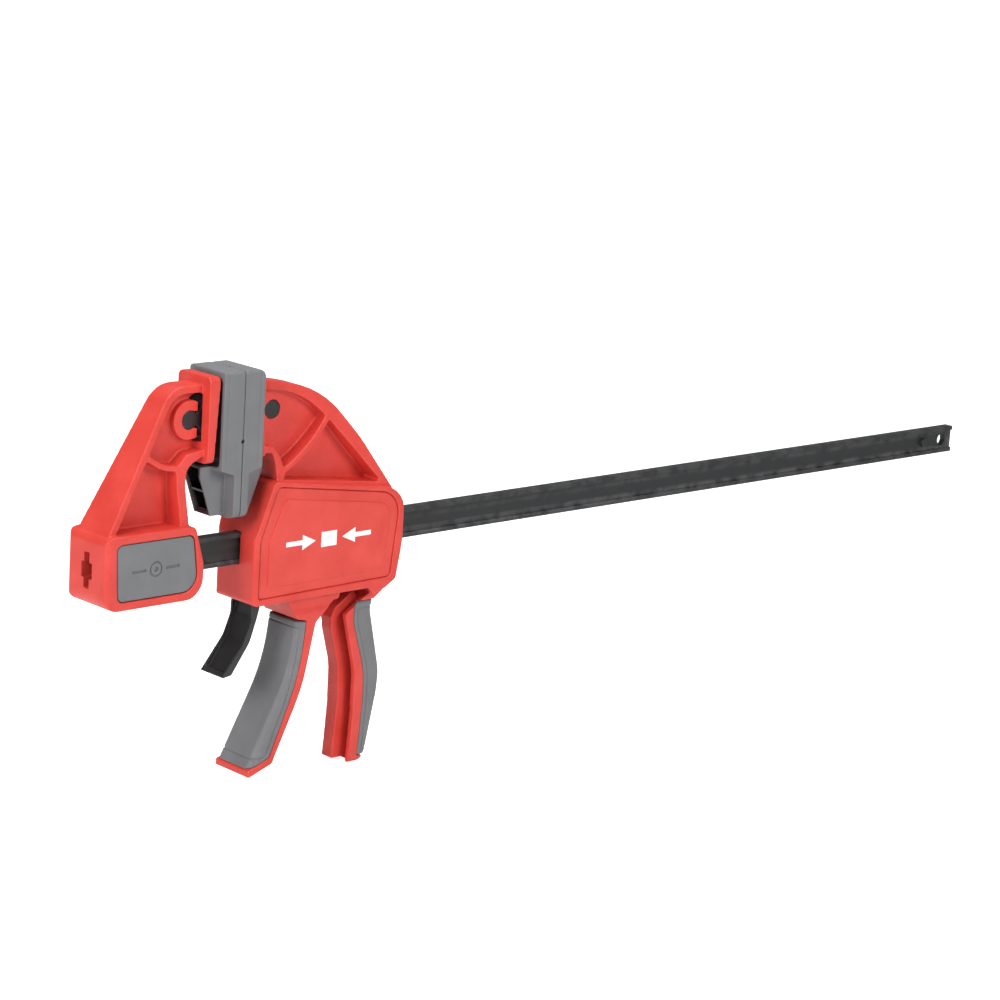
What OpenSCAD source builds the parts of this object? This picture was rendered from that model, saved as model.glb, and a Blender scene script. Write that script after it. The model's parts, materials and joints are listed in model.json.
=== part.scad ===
// One-handed trigger bar clamp with a quick-change fixed jaw, closed.
// Millimetres. +X runs along the bar to its free end, +Z is up towards the pads,
// and -Y is the side with the push button. The origin is the middle of the bar's
// section, at the plane where the two pads meet.

/* [Bar] */
// Height of the I-section bar
bar_h = 22; // [20:0.5:24]
// Width of the bar's flanges
bar_w = 8; // [7:0.5:9]
// Thickness of the bar's web
bar_web = 5; // [4:0.5:6]
// Length of bar from the pads' plane to the free end
bar_free = 796; // [600:1:1000]
// Radius of the round hole near each end of the bar
end_hole_r = 5; // [4:0.5:5.5]

/* [Jaws] */
// Width of the fixed jaw's housing
fixed_w = 43.4; // [42:0.2:45]
// Width of the moving jaw's body
body_w = 43; // [42:0.2:45]
// Width of a jaw arm at its root
arm_root_w = 34; // [32:0.5:36]
// Width of a jaw arm at its top
arm_top_w = 17.4; // [16:0.2:19]
// Thickness of the thin web inside the fixed arm
web_t = 6; // [5:0.5:8]
// Height of the pads' swivel axis above the bar's middle
swivel_z = 95; // [93:0.5:97]
// Distance of the pads' swivel axis from the pads' plane
swivel_x = 37; // [36:0.5:38]

/* [Pads] */
// Width of a pad
pad_w = 39; // [37:0.5:40]
// Top of a pad
pad_top = 127.5; // [126:0.5:129]
// Half of the gap left between the closed pads
pad_gap = 0.2; // [0.2:0.05:0.4]

/* [Levers] */
// Width of the trigger
trigger_w = 35; // [32:0.5:35]
// Width of the rear handle
handle_w = 29.5; // [28:0.5:31]
// Width of the release lever
lever_w = 24.6; // [24:0.2:25]
// Tilt of the brake plates while they grip the bar
brake_tilt = 8; // [7:0.5:8.5]

/* [Fits] */
// Radial clearance of a pin that turns or slides in a hole
run = 0.06; // [0.03:0.01:0.1]
// Gap between the bar and what slides on it, each side
slide_gap = 0.1; // [0.08:0.01:0.15]
// Gap between parts that are snapped together
snap_gap = 0.1; // [0.05:0.05:0.15]

/* [Hidden] */
$fn = 64;
arc_steps = 6;
red = [0.86, 0.24, 0.2];
grey = [0.5, 0.51, 0.52];
black = [0.15, 0.15, 0.16];
steel = [0.62, 0.63, 0.65];
over = 1;                        // how far a cutter runs past the face it cuts

// Bar
bar_x0 = -105;
flange_t = 3.4;
end_hole_in = 12.6;              // from each end of the bar to its round hole
stop_in = 38;                    // from each end of the bar to its stop pin
stop_r = 3.5;
stop_half = 5.5;
lock_x = bar_x0 + end_hole_in;

// Fixed jaw housing, button and lock
house_x0 = -112;
house_x1 = -29.5;
button_out_y = -21.4;
button_t = 6;
button_travel = 4;
button_gap = 0.6;
recess_y = button_out_y + button_t + button_travel + 0.4;
button_line = [[-103.8, 20, 5], [-39.8, 19.9, 5], [-34.6, -19.6, 12], [-102, -19.6, 5]];
lock_floor_y = 10;
cover_in_y = 18.8;
lock_pin_r = end_hole_r - run;
lock_pin_tip = -1;
lock_plate_t = 3;
leg_x = [lock_x - 5.5, lock_x + 5.5];
leg_z = [13, 18];
leg_gap = 0.3;

// Moving jaw mechanism
trigger_pin = [72, 24];
trigger_pin_r = 4;
lever_pin = [34, 20];
lever_pin_r = 3;
pin_half = 18.4;
cavity_w = 31;
skirt_room_w = 36.2;
side_cover_t = 2;
cover_line = [[17.6, -33.8, 2.5], [17.6, 8, 4], [31.4, 44.6, 5], [144.8, 28.5, 18],
              [137.8, -32.3, 4]];
drive_x = 79.15;
drive_t = 2.9;
spring_wall_x = 118;
brake_wall_x = 44;
brake_t = 3;

// ---------------------------------------------------------------- outline helpers

function unit(v) = v / norm(v);
function at(p, i) = [p[i][0], p[i][1]];

// Points that round corner i of outline p, whose corners are [x, z] or [x, z, radius]
function corner(p, i) =
    let (n = len(p), b = at(p, i), r = len(p[i]) > 2 ? p[i][2] : 0)
    r == 0 ? [b] :
    let (u = unit(at(p, (i + n - 1) % n) - b), v = unit(at(p, (i + 1) % n) - b),
         half = acos(u * v) / 2, c = b + unit(u + v) * r / sin(half),
         s = b + u * r / tan(half) - c, e = b + v * r / tan(half) - c,
         a0 = atan2(s[1], s[0]), turn = atan2(e[1], e[0]) - a0,
         sweep = turn > 180 ? turn - 360 : turn < -180 ? turn + 360 : turn)
    [for (k = [0:arc_steps]) c + r * [cos(a0 + sweep * k / arc_steps),
                                      sin(a0 + sweep * k / arc_steps)]];

function outline(p) = [for (i = [0:len(p) - 1]) each corner(p, i)];
function shifted(p, dx, dz) = [for (q = p) len(q) > 2 ? [q[0] + dx, q[1] + dz, q[2]]
                                                      : [q[0] + dx, q[1] + dz]];

// A side outline in X and Z, given thickness from y0 to y1
module slab(p, y0, y1) {
    translate([0, y1, 0])
        rotate([90, 0, 0])
            linear_extrude(y1 - y0)
                polygon(outline(p));
}

// A side outline, centred on the bar and w wide
module centred(p, w) {
    slab(p, -w / 2, w / 2);
}

// A front outline in Y and Z, run from x0 to x1
module front_slab(p, x0, x1) {
    translate([x0, 0, 0])
        rotate([90, 0, 90])
            linear_extrude(x1 - x0)
                polygon(outline(p));
}

// A cylinder across the clamp, at x and z, from y0 to y1
module across(x, z, r, y0, y1) {
    translate([x, y1, z])
        rotate([90, 0, 0])
            cylinder(h = y1 - y0, r = r);
}

module block(x, y, z) {
    translate([x[0], y[0], z[0]])
        cube([x[1] - x[0], y[1] - y[0], z[1] - z[0]]);
}

// A helical spring along +X from the origin
module coil(coil_r, wire_r, length, turns) {
    per_turn = 16;
    sides = 6;
    steps = turns * per_turn;
    pitch_len = length - 2 * wire_r;
    points = [for (i = [0:steps]) for (j = [0:sides - 1])
        let (a = 360 * i / per_turn, b = 360 * j / sides, r = coil_r + wire_r * cos(b))
        [wire_r + pitch_len * i / steps + wire_r * sin(b), r * cos(a), r * sin(a)]];
    skin = [for (i = [0:steps - 1]) for (j = [0:sides - 1])
        let (k = (j + 1) % sides, a = i * sides, b = a + sides)
        each [[a + j, b + j, b + k], [a + j, b + k, a + k]]];
    ends = [[for (j = [0:sides - 1]) j],
            [for (j = [0:sides - 1]) steps * sides + sides - 1 - j]];
    polyhedron(points, concat(skin, ends));
}

// ---------------------------------------------------------------- bar

module bar() {
    side = (bar_w - bar_web) / 2;
    color(black)
    difference() {
        block([bar_x0, bar_free], [-bar_w / 2, bar_w / 2], [-bar_h / 2, bar_h / 2]);
        for (y = [-bar_w / 2 - over, bar_web / 2])
            block([bar_x0 - over, bar_free + over], [y, y + side + over],
                  [-bar_h / 2 + flange_t, bar_h / 2 - flange_t]);
        for (x = [lock_x, bar_free - end_hole_in])
            across(x, 0, end_hole_r, -bar_w, bar_w);
        for (x = [bar_x0 + stop_in, bar_free - stop_in])
            across(x, 0, stop_r + 0.02, -bar_w, bar_w);
    }
}

module bar_stop_pins() {
    color(steel)
    for (x = [bar_x0 + stop_in, bar_free - stop_in])
        across(x, 0, stop_r, -stop_half, stop_half);
}

// Space for the bar, its gap, and the stop pin that slides in with it
module bar_tunnel(x0, x1) {
    h = bar_h / 2 + slide_gap;
    w = bar_w / 2 + slide_gap;
    block([x0, x1], [-w, w], [-h, h]);
}

// ---------------------------------------------------------------- fixed jaw

arm_slope = 1.777;               // rise over run of the fixed arm's outer edge
arm_rim = 5.8;                   // from the arm's outer edge to its pockets
function arm_edge(z, inset) = -54.7 + (z - 118.8) / arm_slope + inset;

fixed_arm_line = [[-28.4, 118.6], [arm_edge(118.8, 0), 118.8, 21], [arm_edge(24, 0), 24],
                  [-41, 22], [-44, 52, 20], [-42.6, 64, 10], [-28.4, 71]];
fixed_upper_pocket = [[-28.4, 113.4], [arm_edge(113.6, arm_rim), 113.6, 19],
                      [arm_edge(75.2, arm_rim), 75.2, 2], [-60, 66.8, 30], [-49.4, 66.2, 3],
                      [-42, 73.2, 6], [-28.4, 75]];
fixed_lower_pocket = [[arm_edge(71.8, arm_rim), 71.8, 2], [-61.5, 63.4, 30], [-51, 62.8, 3],
                      [-51, 52, 20], [-48, 20], [arm_edge(20, arm_rim), 20]];
housing_line = [[house_x0, -25.1, 10], [house_x0, 24, 6], [-104, 25.5, 4], [-39, 25.5, 5],
                [-30.2, -4.5, 30], [-31.7, -17, 14], [-39.8, -25.1, 12]];
housing_plan = [[house_x0, -fixed_w / 2, 4], [house_x1 + 1, -fixed_w / 2, 4],
                [house_x1 + 1, fixed_w / 2, 4], [house_x0, fixed_w / 2, 4]];
arm_front = [[-arm_root_w / 2 - 1, 18], [-arm_root_w / 2, 26], [-arm_top_w / 2, 121],
             [arm_top_w / 2, 121], [arm_root_w / 2, 26], [arm_root_w / 2 + 1, 18]];
flange_line = [[-28.5, 65.5], [-28.5, 124.9, 1], [-19.4, 124.9, 2], [-22.9, 65.5, 1]];
flange_front = [[-17.6, 65.5, 4], [-17.6, 124.9, 4], [17.6, 124.9, 4], [17.6, 65.5, 4]];
neck_window = [79.5, 112.5];

// The plate that stands behind the fixed pad
module fixed_flange() {
    difference() {
        intersection() {
            centred(flange_line, 40);
            front_slab(flange_front, -40, 0);
        }
        block([-40, 0], [-9.5, 9.5], neck_window);
    }
}

// Open hook that holds the fixed pad's trunnion
module hook() {
    r_in = 6.5 + run;
    r_out = 13.5;
    end_r = (r_out - r_in) / 2 - 0.15;
    mid = (r_out + r_in) / 2;
    gap = 62;                    // half angle of the hook's mouth
    difference() {
        across(-swivel_x, swivel_z, r_out, -8, 8);
        across(-swivel_x, swivel_z, r_in, -9, 9);
        slab([[-swivel_x, swivel_z], [-swivel_x + 30 * cos(gap), swivel_z + 30 * sin(gap)],
              [-swivel_x + 30, swivel_z],
              [-swivel_x + 30 * cos(gap), swivel_z - 30 * sin(gap)]], -9, 9);
    }
    for (s = [-1, 1])
        across(-swivel_x + mid * cos(gap), swivel_z + s * mid * sin(gap), end_r, -8, 8);
}

module fixed_arm() {
    neck_room = [[-31, 82], [-31, 110], [-18, 113], [-18, 79]];
    difference() {
        intersection() {
            centred(fixed_arm_line, fixed_w);
            front_slab(arm_front, -120, 0);
        }
        for (side = [-1, 1]) {
            y0 = side > 0 ? web_t / 2 : -fixed_w;
            y1 = side > 0 ? fixed_w : -web_t / 2;
            slab(fixed_upper_pocket, y0, y1);
            slab(fixed_lower_pocket, y0, y1);
        }
        across(-swivel_x, swivel_z, 12, -web_t, web_t);
        centred([[-swivel_x, swivel_z - 13], [-swivel_x, swivel_z + 13],
                 [-28, 113], [-28, 79]], 2 * web_t);
    }
    difference() {
        hook();
        centred(neck_room, 40);
    }
}

module fixed_jaw() {
    color(red)
    difference() {
        union() {
            intersection() {
                centred(housing_line, fixed_w);
                translate([0, 0, -40])
                    linear_extrude(80)
                        polygon(outline(housing_plan));
            }
            fixed_arm();
            fixed_flange();
        }
        // bar tunnel, closed at the front but for a small cross-shaped window
        bar_tunnel(bar_x0 - 0.3, 0);
        block([-120, 0], [-5.8, 5.8], [-5.5, 5.5]);
        block([-120, -100], [-3, 3], [-12.2, 12.2]);
        // button's recess and the slots for the lock's legs
        slab(button_line, -fixed_w, recess_y);
        for (s = [0, 1])
            mirror([0, 0, s])
                block([leg_x[0] - leg_gap, leg_x[1] + leg_gap], [recess_y - over, lock_floor_y + over],
                      [leg_z[0] - leg_gap, leg_z[1] + leg_gap]);
        // lock's chamber on the far side
        across(lock_x, 0, end_hole_r + 0.05, 0, lock_floor_y + over);
        slab([[-104, -20, 3], [-104, 20, 3], [-81, 20, 3], [-81, -20, 3]],
             lock_floor_y, fixed_w);
        slab([[-105.5, -21.5, 4], [-105.5, 21.5, 4], [-79.5, 21.5, 4], [-79.5, -21.5, 4]],
             cover_in_y, fixed_w);
    }
}

module lock_cover() {
    g = snap_gap;
    color(black)
    slab([[-105.5 + g, -21.5 + g, 4], [-105.5 + g, 21.5 - g, 4], [-79.5 - g, 21.5 - g, 4],
          [-79.5 - g, -21.5 + g, 4]], cover_in_y, fixed_w / 2 - 0.4);
}

module push_button() {
    g = button_gap;
    p = button_line;
    color(grey)
    slab([[p[0][0] + g, p[0][1] - g, p[0][2] - g], [p[1][0] - g, p[1][1] - g, p[1][2] - g],
          [p[2][0] - g, p[2][1] + g, p[2][2] - g], [p[3][0] + g, p[3][1] + g, p[3][2] - g]],
         button_out_y, button_out_y + button_t);
}

// Yoke that passes the button's push round the bar to the lock pin
module lock_slider() {
    y0 = lock_floor_y + 0.05;
    color(black)
    difference() {
        union() {
            slab([[-101, -19, 2], [-101, 19, 2], [-84, 19, 2], [-84, -19, 2]],
                 y0, y0 + lock_plate_t);
            for (s = [0, 1])
                mirror([0, 0, s])
                    block(leg_x, [button_out_y + button_t, y0], leg_z);
        }
        across(lock_x, 0, end_hole_r, 0, 20);
    }
}

// Hollow steel pin through the bar's end hole, with its flange on the yoke
module lock_pin() {
    y1 = lock_floor_y + 0.05 + lock_plate_t;
    color(steel)
    difference() {
        union() {
            across(lock_x, 0, lock_pin_r, lock_pin_tip, y1);
            across(lock_x, 0, 7.5, y1, y1 + 1.4);
        }
        across(lock_x, 0, 3.7, lock_pin_tip + 3, 20);
    }
}

module button_spring() {
    y0 = lock_pin_tip + 3;
    color(steel)
    translate([lock_x, y0, 0])
        rotate([0, 0, 90])
            coil(2.9, 0.4, cover_in_y - y0, 6);
}

// ---------------------------------------------------------------- pads

// Pads are drawn for the fixed side, with the front at x = -pad_gap.
pad_back = -17.5;
pad_plate_x = -6.3;
pad_step_z = 60;
pad_low_z = 25.5;
pad_block_front = [[-pad_w / 2, 25.5, 6], [-pad_w / 2, pad_top, 2.5],
                   [pad_w / 2, pad_top, 2.5], [pad_w / 2, 25.5, 6]];
core_top = 122;
groove = 1.6;                    // depth of the V-grooves that hold round work
groove_z = 79;

module pad_face(wedge_top_x, wedge_low_x, back_r) {
    front = -pad_gap;
    upper = [[front, pad_low_z], [front, pad_top, 1.5], [pad_back, pad_top, back_r],
             [pad_back, pad_step_z], [pad_plate_x, pad_step_z - 4], [pad_plate_x, pad_low_z]];
    wedge = [[pad_plate_x, pad_low_z + 1.5], [pad_plate_x, pad_step_z + 2],
             [wedge_top_x, pad_step_z + 2, 1], [wedge_top_x, pad_step_z - 5],
             [wedge_low_x, pad_low_z + 1.5]];
    color(grey)
    difference() {
        union() {
            intersection() {
                centred(upper, pad_w);
                front_slab(pad_block_front, -40, 0);
            }
            centred(wedge, 18);
        }
        // room for the core
        intersection() {
            block([pad_back - over, -4.5], [-16, 16], [62, core_top]);
            front_slab([[-16, 62, 3], [-16, core_top, 3], [16, core_top, 3], [16, 62, 3]],
                       -40, 0);
        }
        centred([[-4.5, pad_low_z + 4], [-4.5, 63], [wedge_top_x - over, 63],
                 [wedge_top_x - over, pad_step_z - 5.3], [wedge_low_x - over, pad_low_z + 1],
                 [wedge_low_x + 2, pad_low_z + 4]], 15);
        // V-grooves, one across and one up the pad
        centred([[front + over, groove_z + groove + over], [front - groove, groove_z],
                 [front + over, groove_z - groove - over]], pad_w + over);
        linear_extrude(200)
            polygon([[front + over, -groove - over], [front - groove, 0],
                     [front + over, groove + over]]);
    }
}

module pad_core(wedge_top_x, wedge_low_x, trunnion_half, neck_half) {
    g = snap_gap;
    color(black)
    difference() {
        union() {
            intersection() {
                block([pad_back + 0.4, -4.5 - g], [-16 + g, 16 - g], [62 + g, core_top - g]);
                front_slab([[-16 + g, 62 + g, 3], [-16 + g, core_top - g, 3],
                            [16 - g, core_top - g, 3], [16 - g, 62 + g, 3]], -40, 0);
            }
            // flared neck and trunnion
            centred([[pad_back - 0.5, 80.5], [-24, 82], [-28, 88, 3], [-32, 91.5, 3],
                     [-swivel_x, 91.5], [-swivel_x, 98.5], [-32, 98.5, 3], [-28, 102, 3],
                     [-24, 110], [pad_back - 0.5, 111.5]], 2 * neck_half);
            block([pad_back - 1, pad_back + 1], [-neck_half, neck_half], [80.5, 111.5]);
            across(-swivel_x, swivel_z, 6.5, -trunnion_half, trunnion_half);
            // hollow wedge below
            centred([[-4.5 - g, pad_low_z + 4 + g], [-4.5 - g, 63], [wedge_top_x + 0.3, 63],
                     [wedge_top_x + 0.3, pad_step_z - 5], [wedge_low_x + 1.6, pad_low_z + 4 + g]],
                    15 - 2 * g);
        }
        // hollows between the ribs, open at the back
        for (z = [[31, 43.5], [45.5, 60.5]])
            block([-30, -7.5], [-6, 6], z);
    }
}

module fixed_pad_face() {
    pad_face(-27.5, -17.5, 1.5);
}

module fixed_pad_core() {
    pad_core(-27.5, -17.5, 7.4, 7.4);
}

module moving_pad_face() {
    mirror([1, 0, 0])
        pad_face(-26, -15, 6);
}

module moving_pad_core() {
    mirror([1, 0, 0])
        pad_core(-26, -15, 3.8, 2.4);
}

// ---------------------------------------------------------------- moving jaw

body_line = [[13.2, -38.2, 4], [13.2, 9, 3], [28.5, 48.3, 5], [149.4, 31.3, 22],
             [148.4, -4.5, 3], [143.2, -34.5, 4], [133.5, -40, 4], [123, -43.5], [118, -38.2]];
body_plan = [[13.2, -body_w / 2, 3.4], [149.4, -body_w / 2, 3.4], [149.4, body_w / 2, 3.4],
             [13.2, body_w / 2, 3.4]];
moving_arm_line = [[20.5, 118.2], [74.5, 108.3, 80], [109.8, 70, 120], [137, 33], [138, 30], [33.4, 40],
                   [33.1, 50, 12], [32, 60, 10], [29.8, 67.3, 3], [20.5, 67.8]];
moving_arm_front = [[-20.5, 20], [-arm_top_w / 2, 121], [arm_top_w / 2, 121], [20.5, 20]];
moving_upper_pocket = [[22.6, 111.2], [57.7, 107.7, 74], [78, 88.4, 1.5], [61.3, 68.4, 110],
                       [39.3, 55.9, 2], [36.9, 63.5, 12], [31, 72, 4], [22.6, 72.8]];
moving_lower_pocket = [[81.3, 85.6, 1.5], [127.5, 37.6, 1.5], [39, 48], [40.6, 52.4, 2],
                       [64.2, 65.4, 110]];
upper_web_t = 8;                 // web round the moving pad's trunnion
neck_slot = 5.6;
handle_line = [[134, -30], [124, -36.6], [104, -54.5, 4], [104.5, -61, 8],
               [115, -100, 60], [115.5, -131, 60], [113.3, -169.6, 2], [124.6, -169.6, 4],
               [128, -159], [136.9, -119, 40], [137.6, -103, 30], [127.5, -62, 20],
               [126.8, -51, 2], [145, -38], [140, -30]];
handle_channel = [[90, -172], [119.6, -172], [129.8, -121, 40], [130.2, -101, 30],
                  [119.6, -66, 12], [119.4, -50, 4], [126, -42, 4], [126, -36], [90, -36]];
channel_w = 20.8;
handle_rib = [[101.5, -54.5, 3], [98.2, -60.5, 3], [98.5, -69, 20], [106.4, -96.2, 40],
              [108.3, -122, 40], [104.8, -166.8, 1.5], [122, -166.8], [131, -121], [131, -101],
              [121, -66], [121, -46], [118, -43.5]];
handle_rib_w = 10.6;
grip_side_t = 2.5;
grip_top = -49;
grip_foot = -165;
grip_edge = [[111.6, -64, 20], [123.2, -100, 60], [124, -122, 60]];
body_cavity = [[19, -60], [19, 8.4], [32.6, 43, 3], [128.2, 28.6, 6], [143.6, 16, 4],
               [143.2, -4.5, 3], [139.4, -31, 4], [127, -36, 4], [124.5, -44], [100, -60]];

// The grip's region of the handle, to take away from or to keep
module grip_region(inset, w) {
    centred([[111.8 + inset, grip_top - inset, 5], grip_edge[0] + [inset, 0, 0],
             grip_edge[1] + [inset, 0, 0], grip_edge[2] + [inset, 0, 0],
             [121 + inset, grip_foot + inset], [150, grip_foot + inset],
             [150, grip_top - inset]], w);
}

// The thin plate that stands behind the moving pad
module moving_flange() {
    difference() {
        front_slab([[-17.6, 65.5, 3], [-11, 115, 3], [11, 115, 3], [17.6, 65.5, 3]], 19.3, 22);
        block([18, 24], [-3, 3], neck_window);
    }
}

module moving_arm() {
    difference() {
        intersection() {
            centred(moving_arm_line, body_w);
            front_slab(moving_arm_front, 0, 140);
        }
        for (s = [0, 1])
            mirror([0, s, 0]) {
                slab(moving_upper_pocket, upper_web_t / 2, body_w);
                slab(moving_lower_pocket, web_t / 2, body_w);
            }
        // slot for the moving pad's neck, and its trunnion's bore
        block([20, swivel_x + 8], [-neck_slot / 2, neck_slot / 2], [85, 105]);
        centred([[20, 77], [20, 115], [29, 113], [35, 105], [35, 85], [29, 79]], neck_slot);
        across(swivel_x, swivel_z, 6.5 + run, -body_w, body_w);
    }
}

module handle() {
    difference() {
        intersection() {
            centred(handle_line, handle_w);
            front_slab([[-handle_w / 2, -169.7, 5], [-handle_w / 2, -20], [handle_w / 2, -20],
                        [handle_w / 2, -169.7, 5]], 80, 160);
        }
        // the grip lies in a step round the handle's back and sides
        for (s = [0, 1])
            mirror([0, s, 0])
                intersection() {
                    grip_region(0, handle_w + 2);
                    block([100, 160], [handle_w / 2 - grip_side_t, handle_w], [-170, -40]);
                }
    }
}

module moving_jaw() {
    wall = cavity_w / 2;
    color(red)
    difference() {
        union() {
            difference() {
                union() {
                    intersection() {
                        centred(body_line, body_w);
                        translate([0, 0, -60])
                            linear_extrude(120)
                                polygon(outline(body_plan));
                    }
                    moving_arm();
                    moving_flange();
                    handle();
                }
                centred(body_cavity, cavity_w);
                intersection() {
                    centred(body_cavity, skirt_room_w);
                    block([19, 130], [-20, 20], [-70, -24]);
                }
                centred(handle_channel, channel_w);
                for (s = [0, 1])
                    mirror([0, s, 0])
                        slab(cover_line, body_w / 2 - side_cover_t, body_w);
            }
            centred(handle_rib, handle_rib_w);
            // cross walls that the two springs push on
            block([spring_wall_x, spring_wall_x + 4], [-wall - over, wall + over], [-18, 33]);
            block([brake_wall_x, brake_wall_x + 2.5], [-wall - over, wall + over], [-31, -13]);
        }
        bar_tunnel(0, 160);
        across(trigger_pin[0], trigger_pin[1], trigger_pin_r + 0.02, -body_w, body_w);
        across(lever_pin[0], lever_pin[1], lever_pin_r + 0.02, -body_w, body_w);
    }
}

module side_cover() {
    g = snap_gap;
    p = cover_line;
    inset = [[p[0][0] + g, p[0][1] + g, p[0][2]], [p[1][0] + g, p[1][1], p[1][2]],
             [p[2][0] + g / 2, p[2][1] - g, p[2][2]], [p[3][0] - g, p[3][1] - g, p[3][2]],
             [p[4][0] - g, p[4][1] + g, p[4][2]]];
    slab(inset, body_w / 2 - side_cover_t, body_w / 2);
}

module side_cover_near() {
    color(red)
    mirror([0, 1, 0])
        side_cover();
}

module side_cover_far() {
    color(red)
    side_cover();
}

module rear_grip() {
    back = [[90, -48.6], [131.6, -48.6, 1], [129.6, -57, 6], [140.9, -104, 30],
            [139.9, -119, 40], [130.8, -164.7, 2], [90, -164.7]];
    color(grey)
    difference() {
        intersection() {
            centred(back, handle_w);
            grip_region(snap_gap, handle_w + 1);
        }
        centred(shifted(handle_line, snap_gap, 0), handle_w - 2 * (grip_side_t - snap_gap));
    }
}

module trigger_pivot_pin() {
    color(steel)
    across(trigger_pin[0], trigger_pin[1], trigger_pin_r, -pin_half, pin_half);
}

module lever_pivot_pin() {
    color(steel)
    across(lever_pin[0], lever_pin[1], lever_pin_r, -pin_half, pin_half);
}

module drive_spring() {
    x0 = drive_x + 2 * drive_t + 0.2;
    color(steel)
    translate([x0, 0, 0])
        coil(13, 0.8, spring_wall_x - x0, 7);
}

module brake_spring() {
    x0 = 31.4;
    color(steel)
    translate([x0, 0, -22.5])
        coil(4, 0.5, brake_wall_x - x0, 5);
}

// ---------------------------------------------------------------- trigger and drive

paddle_w = trigger_w + 1.8;
grip_line = [[36.6, -150.8], [60.5, -93.7, 150], [65, -55.5, 1]];
trigger_line = [[46, -36.5, 2], [96, -36.5, 2], [94, -43.7, 3], [89.5, -43.7], [73.4, -58, 4],
                [63.9, -103.5, 120], [39.3, -155.5, 1.5], [18.3, -162.7, 1], [18, -157.5, 1],
                each grip_line, [56.5, -53.5, 2], [50, -44]];
trigger_front = [[-trigger_w / 2, 40], [-trigger_w / 2, -46], [-paddle_w / 2, -50],
                 [-paddle_w / 2, -163], [paddle_w / 2, -163], [paddle_w / 2, -50],
                 [trigger_w / 2, -46], [trigger_w / 2, 40]];
cheek_y = [5.2, 11];
nose = [trigger_pin[0] + 3, trigger_pin[1] - 38];

module trigger() {
    x = trigger_pin[0];
    z = trigger_pin[1];
    stem = [[x - 7, z], [x + 5, z], [x + 5, -36], [x + 3, -43], [x - 14, -43], [x - 10, -30]];
    color(red)
    difference() {
        union() {
            intersection() {
                centred(trigger_line, paddle_w + over);
                front_slab(trigger_front, 0, 120);
            }
            for (s = [0, 1])
                mirror([0, s, 0]) {
                    slab(stem, cheek_y[0], cheek_y[1]);
                    across(x, z, 9.5, cheek_y[0], cheek_y[1]);
                    across(nose[0], nose[1], 4, cheek_y[0], cheek_y[1]);
                }
        }
        across(x, z, trigger_pin_r + run, -trigger_w, trigger_w);
        // the skirt is a thin-walled box, open at the top round the stem
        for (s = [0, 1])
            mirror([0, s, 0])
                slab([[49, -20], [93, -20], [91, -41.4, 2], [49, -41.4]], cheek_y[1], 14.6);
        for (pocket = [[49, x - 14], [x + 5, 92]])
            block(pocket, [-cheek_y[1] - over, cheek_y[1] + over], [-41.4, -20]);
        // small dip in each edge of the skirt
        across(81, -34.6, 4.6, -trigger_w, trigger_w);
        // hollow back
        centred([[80, -62], [67.8, -62], [63.6, -94, 120], [42, -142], [60, -142], [90, -80]],
                paddle_w - 6);
    }
}

// The grip's long edges are rounded in steps that follow a quarter circle
module trigger_grip() {
    edge_r = 6;
    steps = 5;
    g = snap_gap;
    color(grey)
    for (i = [1:steps]) {
        half = paddle_w / 2 - edge_r + edge_r * sin(90 * i / steps);
        d = edge_r * (1 - cos(90 * i / steps));
        centred([[36.3, -150.6], grip_line[1] - [g, 0, 0], [64.7, -56.2, 0.5],
                 [57.6 + d, -56, 0.5], [52.8 + 0.95 * d, -91.5, 120],
                 [18.2 + 0.94 * d, -157.1 + 0.34 * d]], 2 * half);
    }
}

module drive_plates() {
    color(steel)
    difference() {
        for (i = [0, 1])
            block([drive_x + i * (drive_t + 0.05), drive_x + i * (drive_t + 0.05) + drive_t],
                  [-13, 13], [-17.8, 15]);
        bar_tunnel(0, 160);
    }
}

// ---------------------------------------------------------------- release lever and brake

lever_line = [[20.8, -34], [20.6, -50, 14], [14.6, -65, 20], [-4.2, -88.6, 0.6],
              [4.4, -87.4, 0.6], [19.4, -66, 20], [25.4, -48, 14], [29, -34]];
lever_hollow = [[10, -33], [26, -33], [22.8, -48, 14], [17, -65, 20], [2.6, -85.4],
                [-20, -83.5]];
arm_y = [10.45, 12.1];
bar_half_y = 11.4;               // half width of the cross bars between the arms
window_half = (bar_h / 2 + brake_t * sin(brake_tilt)) / cos(brake_tilt) + 0.15;
window_at = lever_pin[1] / cos(brake_tilt);

// Places what follows at the lever's pivot, tilted with the brake plates
module at_brake() {
    translate([lever_pin[0], 0, lever_pin[1]])
        rotate([0, brake_tilt, 0])
            children();
}

module release_lever() {
    color(black)
    difference() {
        union() {
            difference() {
                centred(lever_line, lever_w);
                centred(lever_hollow, lever_w - 4);
            }
            for (s = [0, 1])
                mirror([0, s, 0])
                    at_brake()
                        slab([[-6.5, -57], [-6.5, 0], [0, 7, 6], [6.5, 0], [4.5, -40], [2, -57]],
                             arm_y[0], arm_y[1]);
            // bars before and behind the foot of the plates, and the web below them
            at_brake() {
                for (x = [[-6.2, -brake_t - 0.15], [brake_t + 0.15, 5.4]])
                    block(x, [-bar_half_y, bar_half_y], [-37, -33.2]);
                block([-1.5, 3], [-bar_half_y, bar_half_y], [-56, -36.9]);
            }
        }
        across(lever_pin[0], lever_pin[1], lever_pin_r + run, -lever_w, lever_w);
    }
}

module brake_plates() {
    color(steel)
    at_brake()
        difference() {
            for (x = [[-brake_t, -0.03], [0.03, brake_t]])
                block(x, [-10.1, 10.1], [-36.4, -4.4]);
            block([-10, 10], [-bar_w / 2 - 0.15, bar_w / 2 + 0.15],
                  [-window_at - window_half, -window_at + window_half]);
        }
}

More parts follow.
